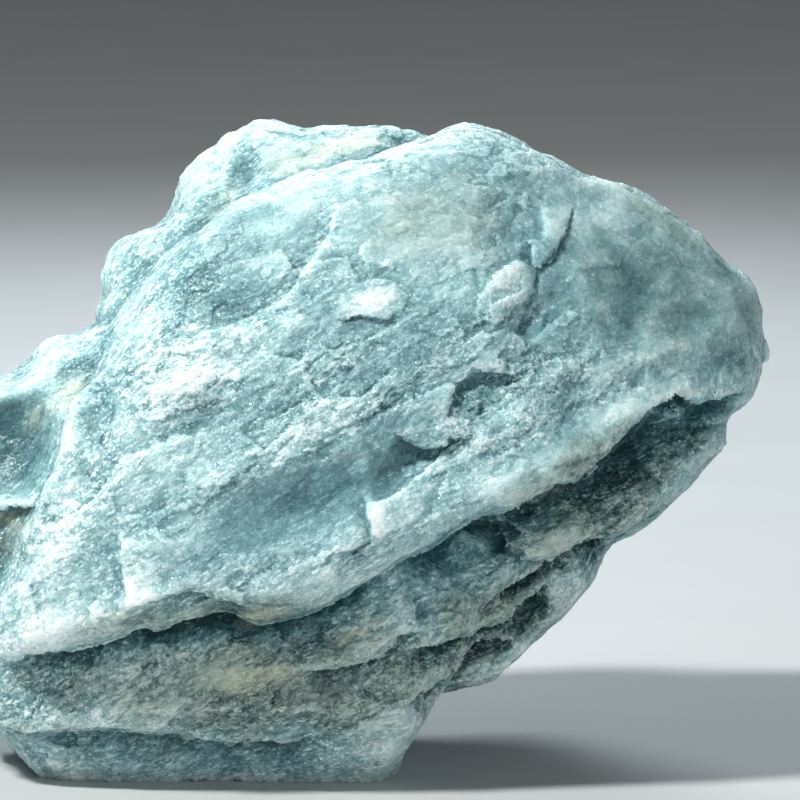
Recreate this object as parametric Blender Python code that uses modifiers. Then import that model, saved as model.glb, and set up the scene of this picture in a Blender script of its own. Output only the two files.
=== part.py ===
"""A rough aquamarine, one broken lump of massive beryl about 98 mm across, resting on a small flat spot.

Metres, +Z up, the front towards -Y, the origin in the middle of the footprint at the lump's foot.
The lump broke along its grain into plates that are still one stone. Each plate is a ball pressed to the
plate's own outline, and a plate's front lies a step behind the front of the whole lump. The plates
are fused into one skin, the ledges, scars and hollows are worked into it, and the foot is cut flat.
"""

import math

import bmesh
import bpy
import numpy as np
from mathutils import Vector, noise

MM = 0.001

# Driving dimensions, in millimetres and degrees. Outlines and lines are (across, up) as the front is
# seen: across from the left of the broad face, up from the foot.
VIEW_MIDDLE = (44.0, 43.5)
VIEW_DISTANCE = 610.0
VIEW_DOWN = 8.0
FRONT_BULGE = 25.0
BACK_BULGE = 31.0
BULGE_SQUARENESS = 2.3
PLATE_SQUARENESS = 12.0
GRAIN_SLOPE = 28.0
SKIN_STEP = 0.65
FOOT_HEIGHT = 3.2
TRIANGLES = 9400

# The broken surface's waves: how high they are, how long across the grain, how many times longer along
# it, and a seed. The first set bends the ledges' lines, and the back is rougher than the front.
LEDGE_WOBBLE = (0.7, 2.6, 1.6, 11.3)
SURFACE_WAVES = ((0.6, 9.0, 1.8, 3.1), (0.25, 4.2, 1.7, 7.7), (0.12, 1.9, 1.5, 23.9))
BACK_ROUGHNESS = 1.9

# The lump's own bulge, front and back, falls to nothing along this line.
BULGE_MIDDLE = (34.0, 37.0)
BULGE_OUTLINE = (
    (90, 46), (84, 61), (70, 69), (52, 76), (28, 77), (10, 63), (-2, 50), (-13, 40),
    (-17, 25), (-14, 8), (-4, -10), (18, -20), (42, -20), (62, -8), (80, 10), (90, 28),
)

# Each plate: its middle, how far its edge plane lies in front of the lump's middle, how far its front
# and its back stand behind the bulge, and its outline.
MAIN_PLATE = dict(
    middle=(40.0, 44.0), edge=-2.0, front_step=0.0, back_step=3.0,
    outline=(
        (84.0, 50.0), (83.9, 47.4), (83.2, 45.2), (81.2, 44.5), (79.0, 43.8), (76.8, 43.6),
        (74.5, 44.1), (72.6, 43.2), (71.0, 41.9), (69.4, 40.6), (68.0, 38.8), (66.0, 37.4),
        (64.6, 36.0), (63.2, 34.8), (61.2, 34.4), (58.9, 33.1), (56.3, 31.9), (53.9, 31.5),
        (51.5, 30.6), (49.5, 29.3), (46.8, 27.2), (44.0, 25.6), (40.7, 23.9), (36.5, 21.6),
        (33.7, 20.2), (31.2, 19.6), (27.7, 19.4), (25.3, 19.9), (23.3, 19.9), (20.9, 19.2),
        (17.6, 18.4), (13.2, 17.7), (8.8, 16.5), (4.4, 15.4), (0.0, 14.6), (-1.5, 18.1),
        (-0.7, 21.4), (0.9, 24.1), (2.0, 28.1), (3.4, 31.7), (5.1, 35.6), (6.2, 40.1),
        (7.3, 43.5), (9.2, 45.4), (11.4, 49.0), (13.0, 52.8), (15.4, 56.6), (18.1, 59.4),
        (22.0, 62.4), (24.8, 64.6), (28.2, 66.5), (31.9, 67.9), (36.3, 68.8), (40.3, 69.8),
        (44.0, 71.1), (46.6, 71.9), (48.3, 72.4), (49.5, 73.4), (50.8, 73.8), (52.4, 73.7),
        (54.0, 73.0), (56.9, 71.5), (58.9, 70.4), (61.0, 69.6), (63.2, 68.1), (65.6, 67.7),
        (68.2, 67.0), (72.3, 65.0), (75.8, 62.5), (77.4, 61.4), (79.5, 58.7), (80.5, 57.5),
        (82.0, 57.2), (83.7, 55.8), (83.5, 54.5),
    ),
)
SECOND_PLATE = dict(
    middle=(60.0, 42.0), edge=-5.0, front_step=6.5, back_step=1.0,
    outline=(
        (82.8, 44.9), (82.6, 43.3), (81.3, 42.2), (80.3, 41.6), (79.6, 39.8), (79.8, 38.1),
        (78.3, 36.6), (76.6, 34.9), (74.4, 32.7), (71.2, 30.2), (69.2, 28.8), (67.0, 27.9),
        (65.3, 28.1), (63.8, 27.7), (62.5, 26.8), (60.0, 25.5), (58.3, 24.4), (56.5, 23.5),
        (55.4, 22.6), (54.9, 21.0), (51.7, 20.1), (47.3, 21.4), (42.9, 25.9), (39.6, 34.6),
        (41.8, 49.0), (49.5, 60.0), (66.0, 62.1), (77.0, 57.8), (82.0, 52.2),
    ),
)
THIRD_PLATE = dict(
    middle=(50.0, 24.0), edge=-6.0, front_step=10.0, back_step=0.0,
    outline=(
        (67.3, 27.9), (66.3, 26.6), (65.7, 25.2), (64.5, 22.7), (63.6, 21.4), (62.8, 20.1),
        (63.0, 18.5), (61.6, 16.8), (59.4, 15.4), (56.9, 14.0), (53.5, 12.9), (50.4, 12.2),
        (48.2, 11.4), (45.6, 10.4), (44.6, 8.0), (43.6, 5.0), (42.6, 2.2), (40.4, -1.5),
        (27.5, -1.5), (25.3, 15.9), (33.0, 25.9), (44.0, 34.6), (57.2, 36.9), (66.0, 33.5),
    ),
)
LOWER_MASS = dict(
    middle=(20.0, 14.0), edge=-4.0, front_step=5.5, back_step=0.0,
    outline=(
        (54.0, 22.0), (51.0, 15.0), (47.5, 10.5), (44.5, 6.0), (42.5, 1.0), (36.0, -3.0),
        (22.0, -4.0), (8.0, -2.0), (-1.0, 3.0), (-7.5, 8.5), (-12.0, 15.0), (-9.0, 23.0),
        (-2.0, 27.0), (12.0, 30.0), (30.0, 33.0), (46.0, 30.0),
    ),
)
BACK_RIDGE = dict(
    middle=(28.0, 60.0), edge=-12.0, front_step=11.0, back_step=2.0,
    outline=(
        (11.3, 52.0), (10.9, 53.4), (11.8, 55.1), (12.1, 58.3), (12.7, 59.8), (13.6, 60.7),
        (16.1, 61.9), (17.6, 62.3), (18.9, 63.9), (19.8, 65.2), (19.9, 66.5), (20.8, 68.6),
        (21.4, 69.3), (22.8, 70.6), (24.1, 71.6), (24.8, 72.7), (26.6, 73.0), (28.5, 73.8),
        (30.5, 73.8), (31.9, 73.2), (33.8, 72.9), (35.2, 73.5), (38.1, 73.5), (39.0, 73.2),
        (43.5, 73.2), (44.1, 72.7), (45.3, 72.3), (46.9, 71.9), (48.4, 69.8), (46.2, 61.0),
        (36.3, 54.5), (24.2, 47.9), (14.3, 43.5), (9.9, 45.6),
    ),
)
LEFT_LOBE = dict(
    middle=(2.0, 26.0), edge=-5.0, front_step=6.0, back_step=2.0,
    outline=(
        (11.3, 52.0), (9.0, 50.4), (6.7, 50.2), (5.0, 49.6), (3.7, 48.7), (3.4, 47.9),
        (1.9, 46.5), (1.1, 46.5), (0.0, 46.0), (-2.8, 44.8), (-6.0, 43.2), (-9.3, 39.9),
        (-11.9, 35.8), (-13.4, 30.2), (-14.1, 24.8), (-13.0, 18.7), (-11.9, 13.8), (-9.3, 8.8),
        (-6.6, 5.0), (-2.2, 1.1), (2.2, -1.5), (9.9, -1.5), (15.4, 10.4), (17.6, 21.4),
        (17.6, 32.5), (16.5, 43.5), (14.3, 50.0),
    ),
)
PLATES = (MAIN_PLATE, SECOND_PLATE, THIRD_PLATE, LOWER_MASS, BACK_RIDGE, LEFT_LOBE)

# Each ledge: its line, drawn so that "above" is on its left, how much the stone is raised above the
# line and over what width that fades, and how much it is lowered below the line and over what width.
FRONT_LEDGE_WIDTH = 0.9
BACK_LEDGE_WIDTH = 1.8
FRONT_LEDGES = dict(
    under_main_lip=(((43.0, 24.4), (50.0, 28.4), (57.0, 31.0), (64.5, 34.0), (70.0, 39.6), (76.0, 42.2),
                     (83.0, 43.6)), 0.0, 2, 2.8, 3.5),
    teal_groove_foot=(((40.6, 32.2), (42.8, 32.8), (46.4, 35.6), (48.7, 37.8), (51.3, 39.3)),
                      -0.5, 6, 0.4, 5),
    chip_over_groove=(((43.0, 39.8), (45.7, 38.4), (47.4, 38.2), (48.9, 38.7), (49.5, 39.5),
                       (52.5, 39.6)), 0.3, 4, 0.8, 3),
    deep_scallop=(((48.5, 41.0), (49.5, 42.9), (50.3, 45.1), (52.1, 46.6), (54.8, 46.5), (57.5, 46.0)),
                  0.1, 4, 0.9, 5),
    top_flake=(((57.6, 62.0), (58.0, 60.5), (58.6, 58.6), (59.5, 58.2), (60.9, 59.3), (62.3, 62.4),
                (63.3, 65.4)), 0.6, 8, 0.0, 4),
    middle_flake_lit_side=(((58.6, 59.0), (56.7, 58.6), (54.7, 57.8), (53.2, 56.1), (52.4, 53.4)),
                           0.35, 4, 0.2, 4),
    middle_flake_shaded_side=(((58.4, 48.8), (56.9, 51.2), (57.8, 53.6), (58.6, 55.6), (58.8, 58.2)),
                              0.1, 4, 0.3, 4),
    teal_hollow_foot=(((21.0, 50.6), (27.3, 52.5), (30.3, 53.7), (32.6, 56.2), (34.0, 58.9), (36.0, 62.0),
                       (37.6, 66.0)), -0.7, 7, 0.2, 5),
    white_scar=(((37.0, 52.0), (38.7, 52.7), (40.3, 52.5), (41.7, 52.1), (42.9, 52.3), (44.0, 53.2),
                 (45.2, 55.4)), 0.3, 5, 0.1, 4),
    bright_block_side=(((12.6, 29.5), (13.2, 24.7), (13.6, 18.8)), 0.7, 7, 0.2, 4),
    bright_block_foot=(((11.8, 18.6), (14.4, 20.0), (17.9, 21.3), (21.0, 22.7), (24.1, 21.9), (28.4, 20.4)),
                       0.3, 4, 1.1, 4),
    lip_crack=(((36.0, 22.0), (37.6, 25.5), (39.3, 27.0), (41.2, 28.0)), 0.6, 4, 0.3, 4),
    pale_block_side=(((40.2, 33.4), (40.3, 30.4), (41.6, 27.4)), 0.3, 4, 0.0, 4),
    tongue=(((54.6, 29.6), (55.6, 27.2), (57.4, 26.3), (60.2, 25.9), (62.7, 27.4), (66.5, 29.0)),
            1.8, 5, 0.3, 3),
    tongue_root=(((50.5, 29.6), (53.9, 29.4), (56.2, 29.4), (57.4, 28.0)), 0.4, 3, 1.2, 3),
    third_ledge=(((42.4, 14.6), (44.8, 15.6), (47.3, 16.5), (49.8, 17.8), (52.1, 18.2), (53.5, 18.8),
                  (55.7, 19.7), (57.3, 20.6), (60.6, 22.9)), 0.8, 5, 2.2, 5),
    fourth_ledge=(((44.0, 9.6), (48.7, 13.1), (49.8, 14.2), (51.6, 16.1), (53.1, 16.9), (56.8, 16.9)),
                  0.6, 3, 1.2, 4),
    low_crust=(((33.0, 13.6), (38.0, 14.0), (42.0, 15.4), (44.0, 17.5), (47.0, 18.6)), 1.2, 3, 0.5, 4),
    left_rim_ledge=(((-9.0, 29.6), (-3.3, 30.8), (1.7, 31.9), (5.0, 31.4)), 0.8, 3, 1.6, 5),
    foot_ledge=(((-6.0, 9.0), (3.0, 6.4), (13.0, 7.4), (25.0, 5.6), (38.0, 7.0)), 0.6, 4, 1.4, 4),
)
# Seen from the front through the stone, so each line's run still has "above" on its left.
BACK_LEDGES = dict(
    high_ledge=(((13.0, 52.0), (24.0, 57.0), (36.0, 58.5), (47.0, 64.5), (58.0, 67.5)), 0.2, 9, 2.6, 10),
    long_ledge=(((-10.0, 32.0), (4.0, 33.0), (16.0, 39.5), (32.0, 42.0), (47.0, 50.0), (62.0, 51.5),
                 (78.0, 57.0)), 0.3, 8, 3.0, 11),
    low_ledge=(((-6.0, 13.0), (8.0, 17.5), (21.0, 18.0), (34.0, 26.5), (50.0, 30.0), (66.0, 38.0)),
               0.3, 8, 2.6, 9),
    foot_ledge=(((2.0, 5.0), (16.0, 7.0), (27.0, 12.5), (42.0, 15.0)), 0.2, 5, 1.8, 6),
    cross_break=(((30.0, 30.0), (27.0, 39.0), (29.0, 47.0), (25.0, 55.0)), 1.0, 9, 0.4, 6),
)
# Each ridge: its line, its height (negative for a groove) and its half width.
FRONT_RIDGES = dict(
    left_rim=(((8.0, 46.0), (6.8, 42.0), (6.0, 38.5), (4.8, 35.0), (3.0, 31.0), (1.2, 26.0)), 1.7, 1.5),
    left_trough=(((12.0, 46.0), (10.5, 41.0), (9.6, 36.0), (8.5, 31.0)), -1.0, 1.8),
    bright_band=(((17.0, 33.0), (24.0, 35.5), (33.7, 38.0), (38.0, 41.5), (42.0, 44.5)), 0.5, 3.2),
    rough_ridge=(((59.0, 43.6), (61.7, 46.4), (64.4, 48.1), (67.6, 50.4)), 0.5, 1.1),
    right_wave=(((62.0, 45.0), (68.0, 47.6), (76.0, 50.0), (85.0, 53.0)), 0.6, 1.6),
    main_lip=(((45.0, 27.4), (52.0, 33.0), (60.0, 36.0), (67.0, 40.6), (74.0, 45.0)), 0.5, 1.8),
    left_lobe_rim=(((12.0, 50.4), (6.4, 48.0), (2.0, 44.6), (-4.0, 42.4), (-9.0, 38.0)), 1.2, 1.3),
    ridge_vein=(((19.5, 58.6), (24.0, 62.6), (27.4, 66.6), (32.0, 69.0), (38.6, 70.6)), 0.7, 0.9),
)
# Each hollow: its middle, its half length and half width, how its length slopes, and its depth.
FRONT_HOLLOWS = dict(
    smooth_face=((33.5, 31.5), (12.0, 6.0), 22.0, 0.6),
    teal_end=((44.0, 36.4), (6.0, 2.4), 35.0, 0.5),
    left_scoop=((1.6, 38.6), (7.4, 5.6), 70.0, 3.2),
    left_foot_scoop=((-2.5, 25.5), (5.0, 4.0), 40.0, 1.6),
    blue_hollow=((26.8, 69.0), (3.4, 1.7), 62.0, 1.3),
    upper_left_dip=((20.5, 55.6), (5.0, 2.6), 25.0, 0.5),
    right_face=((72.0, 56.0), (10.0, 6.0), -35.0, 1.1),
    crease_bay=((36.0, 17.0), (6.0, 2.6), 18.0, 1.8),
    bright_face=((19.0, 45.0), (7.0, 5.0), 35.0, -1.3),
)
BACK_HOLLOWS = dict(
    broad_scoop=((52.0, 41.0), (14.0, 8.0), 28.0, 3.0),
    upper_scoop=((20.0, 50.0), (8.0, 5.0), 40.0, 2.2),
    low_scoop=((16.0, 25.0), (11.0, 6.0), 15.0, 2.6),
    shell_break=((64.0, 58.0), (8.0, 5.0), -25.0, 2.0),
)
# Flat breaks that take off the lump's outermost stone: the way each faces (across, up, towards the
# viewer), how far out from the bulge's middle it lies, and the share of the stone's swell that it keeps.
FLAT_BREAKS = dict(
    front_right=((0.52, 0.30, 0.80), 32.5, 0.35),
    front_high=((-0.42, 0.60, 0.68), 33.0, 0.35),
    front_low=((-0.05, -0.62, 0.78), 31.0, 0.2),
    back_high=((0.10, 0.72, -0.69), 33.5, 0.12),
    back_low=((-0.15, -0.55, -0.82), 27.5, 0.12),
    back_right=((0.72, -0.10, -0.69), 38.0, 0.12),
    back_left=((-0.80, 0.10, -0.60), 37.5, 0.12),
    left_end=((-0.94, -0.22, 0.25), 45.0, 0.12),
    under_right=((0.70, -0.71, -0.10), 30.5, 0.12),
    foot_left=((-0.756, -0.654, 0.0), 44.6, 0.2),
    foot_front=((0.0, -0.85, 0.53), 32.6, 0.4),
)


def reach_at(angle, middle, outline):
    """How far an outline lies from its middle, for each angle."""
    offset = np.array(outline, float) - np.array(middle)
    angles = np.arctan2(offset[:, 1], offset[:, 0])
    order = np.argsort(angles)
    return np.interp(angle, angles[order], np.hypot(*offset.T)[order], period=2 * math.pi)


def bulge_at(across, up):
    """The whole lump's swelling, from 1 in the middle to 0 along its outline."""
    offset_across, offset_up = across - BULGE_MIDDLE[0], up - BULGE_MIDDLE[1]
    reach = reach_at(np.arctan2(offset_up, offset_across), BULGE_MIDDLE, BULGE_OUTLINE)
    share = np.clip(np.hypot(offset_across, offset_up) / reach, 0, 1)
    return (1 - share**BULGE_SQUARENESS) ** (1 / BULGE_SQUARENESS)


def pressed_plate(plate):
    """A ball pressed to the plate's outline, as a bmesh in (across, up, towards the viewer)."""
    bm = bmesh.new()
    bmesh.ops.create_icosphere(bm, subdivisions=6, radius=1)
    ball = np.array([v.co for v in bm.verts])
    angle = np.arctan2(ball[:, 1], ball[:, 0])
    share = np.clip(np.hypot(ball[:, 0], ball[:, 1]), 0, 1)
    reach = reach_at(angle, plate["middle"], plate["outline"]) * share
    across = plate["middle"][0] + reach * np.cos(angle)
    up = plate["middle"][1] + reach * np.sin(angle)
    wall = (1 - share**PLATE_SQUARENESS) ** (1 / PLATE_SQUARENESS)
    swelling, edge = bulge_at(across, up), plate["edge"]
    thinnest = 1.5
    front = np.maximum(FRONT_BULGE * swelling - plate["front_step"] - edge, thinnest)
    back = np.maximum(BACK_BULGE * swelling - plate["back_step"] + edge, thinnest)
    towards = edge + np.where(ball[:, 2] > 0, front, -back) * wall
    for vertex, place in zip(bm.verts, np.stack([across, up, towards], axis=1)):
        vertex.co = place
    return bm


def fused_skin():
    """All plates in one mesh, wrapped in one closed skin."""
    together = bpy.data.meshes.new("plates")
    whole = bmesh.new()
    for plate in PLATES:
        bm = pressed_plate(plate)
        bm.to_mesh(together)
        bm.free()
        whole.from_mesh(together)
    whole.to_mesh(together)
    whole.free()
    lump = bpy.data.objects.new("plates", together)
    bpy.context.scene.collection.objects.link(lump)
    wrap = lump.modifiers.new("one_skin", "REMESH")
    wrap.mode = "VOXEL"
    wrap.voxel_size = SKIN_STEP
    return applied(lump)


def applied(obj):
    """The object's mesh with its modifiers worked in. The object itself is removed."""
    bpy.context.view_layer.update()
    graph = bpy.context.evaluated_depsgraph_get()
    mesh = bpy.data.meshes.new_from_object(obj.evaluated_get(graph))
    bpy.data.objects.remove(obj)
    return mesh


def smooth(share):
    """Eases from 0 to 1."""
    share = np.clip(share, 0, 1)
    return share * share * (3 - 2 * share)


def beside(across, up, line):
    """Distance from a line, positive on its left, and a fade that is 1 along it and 0 past its ends."""
    points = np.array(line, float)
    steps = np.diff(points, axis=0)
    lengths = np.hypot(*steps.T)
    starts = np.concatenate([[0], np.cumsum(lengths)])
    nearest = np.full(across.shape, np.inf)
    side = np.ones(across.shape)
    along = np.zeros(across.shape)
    for start, step, length, run in zip(points, steps, lengths, starts):
        from_start = np.stack([across - start[0], up - start[1]])
        share = np.clip((from_start[0] * step[0] + from_start[1] * step[1]) / length**2, 0, 1)
        distance = np.hypot(from_start[0] - share * step[0], from_start[1] - share * step[1])
        closer = distance < nearest
        left = np.sign(step[0] * from_start[1] - step[1] * from_start[0])
        nearest = np.where(closer, distance, nearest)
        side = np.where(closer, left, side)
        along = np.where(closer, run + share * length, along)
    fading_share = 0.22
    fade_run = fading_share * starts[-1]
    fade = smooth(along / fade_run) * smooth((starts[-1] - along) / fade_run)
    return nearest * side, fade


def ledge_relief(across, up, ledges, wobble, edge_width):
    """How far all ledges move the face out."""
    moved = np.zeros(across.shape)
    for line, rise, rise_run, drop, drop_run in ledges.values():
        beyond, fade = beside(across, up, line)
        beyond = beyond + wobble
        above = smooth(beyond / edge_width + 0.5)
        moved += fade * above * rise * np.exp(-((beyond / rise_run) ** 2))
        moved -= fade * (1 - above) * drop * np.exp(-((beyond / drop_run) ** 2))
    return moved


def ridge_relief(across, up, ridges):
    """How far all ridges and grooves move the face out."""
    moved = np.zeros(across.shape)
    for line, height, half_width in ridges.values():
        beyond, fade = beside(across, up, line)
        moved += fade * height * np.exp(-((beyond / half_width) ** 2))
    return moved


def hollow_relief(across, up, hollows):
    """How far all hollows move the face out, which is a negative number."""
    moved = np.zeros(across.shape)
    for (middle_across, middle_up), (half_length, half_width), slope, depth in hollows.values():
        turn = math.radians(slope)
        x, y = across - middle_across, up - middle_up
        length_share = (x * math.cos(turn) + y * math.sin(turn)) / half_length
        width_share = (y * math.cos(turn) - x * math.sin(turn)) / half_width
        inside = np.clip(1 - length_share**2 - width_share**2, 0, 1)
        moved -= depth * inside * np.sqrt(inside)
    return moved


def waves(places, height, size, stretch, seed):
    """Smooth waves of this height, size long across the grain and stretch times longer along it."""
    turn = math.radians(GRAIN_SLOPE)
    along = places[:, 0] * math.cos(turn) + places[:, 1] * math.sin(turn)
    across_grain = places[:, 1] * math.cos(turn) - places[:, 0] * math.sin(turn)
    turned = np.stack([along / stretch, across_grain, places[:, 2]], axis=1) / size + seed
    return height * np.array([noise.noise(Vector(place)) for place in turned])


def broken_flat(places, middle):
    """Presses the stone outside each flat break onto that break's plane."""
    for facing, reach, kept in FLAT_BREAKS.values():
        facing = np.array(facing) / np.linalg.norm(facing)
        beyond = (places - middle) @ facing - reach
        press = np.where(beyond > 0, beyond * (1 - kept), 0)
        places = places - press[:, None] * facing
    return places


def worked(mesh):
    """Works the breaks, ledges, scars and hollows into the skin."""
    count = len(mesh.vertices)
    places, facing = np.empty(count * 3), np.empty(count * 3, np.float32)
    mesh.vertices.foreach_get("co", places)
    places = places.reshape(-1, 3)
    places = broken_flat(places, np.array([*BULGE_MIDDLE, 0.0]))
    mesh.vertices.foreach_set("co", places.ravel())
    mesh.update()
    mesh.vertices.foreach_get("normal", facing)
    facing = facing.reshape(-1, 3).astype(float)
    across, up = places[:, 0], places[:, 1]

    wobble = waves(places, *LEDGE_WOBBLE)
    front = ledge_relief(across, up, FRONT_LEDGES, wobble, FRONT_LEDGE_WIDTH)
    front += ridge_relief(across, up, FRONT_RIDGES) + hollow_relief(across, up, FRONT_HOLLOWS)
    back = ledge_relief(across, up, BACK_LEDGES, BACK_ROUGHNESS * wobble, BACK_LEDGE_WIDTH)
    back += hollow_relief(across, up, BACK_HOLLOWS)
    edge_on, full_on = 0.1, 0.45
    faces_front = smooth((facing[:, 2] - edge_on) / (full_on - edge_on))
    faces_back = smooth((-facing[:, 2] - edge_on) / (full_on - edge_on))
    places[:, 2] += faces_front * front - faces_back * back

    rough = sum(waves(places, *wave) for wave in SURFACE_WAVES)
    rough *= 1 + (BACK_ROUGHNESS - 1) * faces_back
    return places + facing * rough[:, None]


def stood_up(places):
    """From what the front's viewer sees to true places: (x, y, z) in metres, not yet centred."""
    nearness = 1 - places[:, 2] / VIEW_DISTANCE
    across = VIEW_MIDDLE[0] + (places[:, 0] - VIEW_MIDDLE[0]) * nearness
    up = VIEW_MIDDLE[1] + (places[:, 1] - VIEW_MIDDLE[1]) * nearness
    down = math.radians(VIEW_DOWN)
    depth = up * math.sin(down) - places[:, 2] * math.cos(down)
    height = up * math.cos(down) + places[:, 2] * math.sin(down)
    return np.stack([across, depth, height], axis=1) * MM


def thinned(mesh):
    """The worked skin with its triangles spent where the stone is sharpest."""
    lump = bpy.data.objects.new("skin", mesh)
    bpy.context.scene.collection.objects.link(lump)
    mesh.calc_loop_triangles()
    thin = lump.modifiers.new("thin", "DECIMATE")
    thin.ratio = TRIANGLES / len(mesh.loop_triangles)
    return applied(lump)


def cut_foot(mesh):
    """Cuts the lump off flat at the foot, and closes the cut."""
    bm = bmesh.new()
    bm.from_mesh(mesh)
    everything = [*bm.verts, *bm.edges, *bm.faces]
    cut = bmesh.ops.bisect_plane(
        bm, geom=everything, plane_co=(0, 0, FOOT_HEIGHT * MM), plane_no=(0, 0, -1), clear_outer=True
    )
    rim = [piece for piece in cut["geom_cut"] if isinstance(piece, bmesh.types.BMEdge)]
    bmesh.ops.edgeloop_fill(bm, edges=rim)
    bmesh.ops.triangulate(bm, faces=bm.faces)
    bmesh.ops.recalc_face_normals(bm, faces=bm.faces)
    bm.to_mesh(mesh)
    bm.free()


def centred(mesh):
    """Moves the lump so that the middle of its footprint is the origin."""
    places = np.array([v.co for v in mesh.vertices])
    low, high = places.min(axis=0), places.max(axis=0)
    places -= [(low[0] + high[0]) / 2, (low[1] + high[1]) / 2, low[2]]
    mesh.vertices.foreach_set("co", places.ravel())
    mesh.update()


def beryl():
    """Milky blue-green aquamarine, waxy where it broke."""
    material = bpy.data.materials.new("beryl")
    material.use_nodes = True
    shader = material.node_tree.nodes["Principled BSDF"]
    shader.inputs["Base Color"].default_value = (0.30, 0.47, 0.50, 1.0)
    shader.inputs["Roughness"].default_value = 0.42
    shader.inputs["Metallic"].default_value = 0.0
    return material


def main():
    for obj in list(bpy.data.objects):
        bpy.data.objects.remove(obj)
    skin = fused_skin()
    places = stood_up(worked(skin))
    skin.vertices.foreach_set("co", places.ravel())
    skin.update()
    stone = thinned(skin)
    cut_foot(stone)
    centred(stone)
    stone.materials.clear()
    stone.materials.append(beryl())
    collection = bpy.data.collections.new("rough_aquamarine")
    bpy.context.scene.collection.children.link(collection)
    collection.objects.link(bpy.data.objects.new("aquamarine", stone))


main()
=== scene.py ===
"""The looks of a rough aquamarine: one broken lump of massive, milky blue-green beryl at rest on a table."""

import math

import bpy
import numpy as np
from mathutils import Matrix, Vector, noise


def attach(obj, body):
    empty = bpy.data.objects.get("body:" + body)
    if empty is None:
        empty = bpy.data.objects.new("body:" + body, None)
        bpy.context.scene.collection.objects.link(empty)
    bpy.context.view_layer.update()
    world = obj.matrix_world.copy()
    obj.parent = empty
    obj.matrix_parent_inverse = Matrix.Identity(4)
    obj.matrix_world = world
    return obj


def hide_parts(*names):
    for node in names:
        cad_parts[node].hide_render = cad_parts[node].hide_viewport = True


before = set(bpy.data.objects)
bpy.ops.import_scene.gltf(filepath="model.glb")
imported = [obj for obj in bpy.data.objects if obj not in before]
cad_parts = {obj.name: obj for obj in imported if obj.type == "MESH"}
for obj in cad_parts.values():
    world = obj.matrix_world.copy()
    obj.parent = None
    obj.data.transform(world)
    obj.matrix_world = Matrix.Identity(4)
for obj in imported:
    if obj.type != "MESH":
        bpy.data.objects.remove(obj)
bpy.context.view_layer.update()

# The stone's skin. The lump is a single piece of beryl, and its skin is the solid's own surface, made
# fine enough for what the break left on it: plates that end in ragged lips, thin flakes, low cleavage
# steps along the grain, and a hackly grain. It lies on its flat foot and is fixed by nothing.
MM = 0.001
GRAIN_SLOPE = math.radians(28)

# How near two points have to be to become one, and how fine the skin is, both in metres; how it is eased,
# which takes the fine stepping out; and how many triangles it ends with.
MERGE_WITHIN = 0.000001
SKIN_STEP = 0.00030
SKIN_EASING = 0.5
SKIN_EASING_ROUNDS = 5
SKIN_TRIANGLES = 197000

# The broad front is read as its viewer sees it, in millimetres: across from the left of the main plate,
# up from the foot, and towards the viewer, who looks 8 degrees down from 610 mm away. The first two values
# are one and the same place, in metres and as it is read.
FRONT_MIDDLE = np.array([0.00817, -0.00080, 0.03988])
FRONT_MIDDLE_READ = (44.0, 43.5)
VIEWER_AWAY = 610.0
LOOK_DOWN = math.radians(8)
TOWARDS = np.array([0.0, -math.cos(LOOK_DOWN), math.sin(LOOK_DOWN)])
UPWARDS = np.array([0.0, math.sin(LOOK_DOWN), math.cos(LOOK_DOWN)])
ACROSS = np.array([1.0, 0.0, 0.0])


def read_from_front(places):
    """(across, up, towards) in millimetres of places given in metres."""
    offset = (places - FRONT_MIDDLE) / MM
    towards = offset @ TOWARDS
    nearness = VIEWER_AWAY / (VIEWER_AWAY - towards)
    across = FRONT_MIDDLE_READ[0] + offset[:, 0] * nearness
    up = FRONT_MIDDLE_READ[1] + (offset @ UPWARDS) * nearness
    return across, up, towards


def linked(name, mesh):
    """A new object of this mesh, in the scene."""
    obj = bpy.data.objects.new(name, mesh)
    bpy.context.scene.collection.objects.link(obj)
    return obj


def applied(obj):
    """The object's mesh with its modifiers worked in, without the object."""
    bpy.context.view_layer.update()
    graph = bpy.context.evaluated_depsgraph_get()
    mesh = bpy.data.meshes.new_from_object(obj.evaluated_get(graph))
    bpy.data.objects.remove(obj)
    return mesh


def wrapped(solid):
    """The solid's surface as an even, closed, gently rounded skin."""
    skin = linked("skin", solid.data.copy())
    weld = skin.modifiers.new("weld", "WELD")
    weld.merge_threshold = MERGE_WITHIN
    wrap = skin.modifiers.new("wrap", "REMESH")
    wrap.mode = "VOXEL"
    wrap.voxel_size = SKIN_STEP
    ease = skin.modifiers.new("ease", "SMOOTH")
    ease.factor = SKIN_EASING
    ease.iterations = SKIN_EASING_ROUNDS
    return applied(skin)


def read_vectors(mesh, what):
    """The mesh's points or normals as rows of three."""
    values = np.empty(len(mesh.vertices) * 3, np.float32)
    mesh.vertices.foreach_get(what, values)
    return values.reshape(-1, 3).astype(float)


def write_places(mesh, places):
    """Puts the mesh's points where these rows say."""
    mesh.vertices.foreach_set("co", places.ravel())
    mesh.update()


def eased(share):
    """Goes smoothly from 0 to 1."""
    share = np.clip(share, 0, 1)
    return share * share * (3 - 2 * share)


def along_grain(across, up):
    """The same places turned so that the first number runs along the grain."""
    along = across * math.cos(GRAIN_SLOPE) + up * math.sin(GRAIN_SLOPE)
    over = up * math.cos(GRAIN_SLOPE) - across * math.sin(GRAIN_SLOPE)
    return along, over


def waves(seen, size, stretch, seed):
    """Smooth waves within -1 to 1, size mm long over the grain and stretch times longer along it."""
    along, over = along_grain(seen[0], seen[1])
    turned = np.stack([along / stretch, over, seen[2]], axis=1) / size + seed
    return np.array([noise.noise(Vector(place)) for place in turned])


def wavy(seen, rows, start=0):
    """Waves added up on a start. Each row says their depth, size and stretch, and the seed."""
    return sum((depth * waves(seen, size, stretch, seed) for depth, size, stretch, seed in rows), start)


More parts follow.
